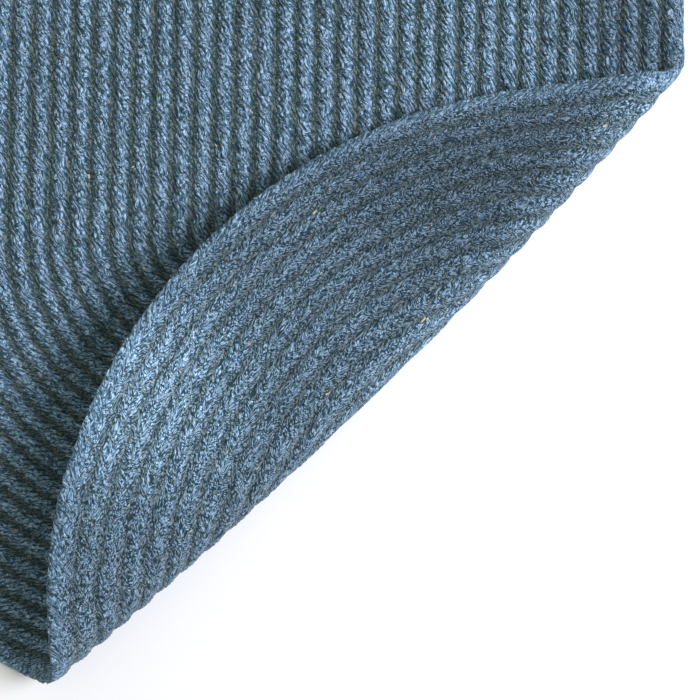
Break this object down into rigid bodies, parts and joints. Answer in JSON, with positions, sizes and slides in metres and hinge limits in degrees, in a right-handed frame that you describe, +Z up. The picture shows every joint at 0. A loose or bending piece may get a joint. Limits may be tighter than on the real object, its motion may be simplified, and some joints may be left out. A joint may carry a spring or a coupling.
{
  "type": "braided rug",
  "caption": "Oval braided rug coiled from one flat braid, lying face up with one end folded over on a diagonal to show its back.",
  "frame": {"origin": "under the middle of the folded rug's box, on the surface it lies on", "axes": "+Y along the oval's long axis, away from the folded end; +Z up, out of the rug's face"},
  "size_m": [0.6102, 0.893, 0.0746],
  "materials": {
    "heathered_yarn": "matt, slightly fuzzy braided yarn in a heather of blue, grey and olive"
  },
  "bodies": {
    "root": {"rug": "heathered_yarn"}
  },
  "joints": []
}
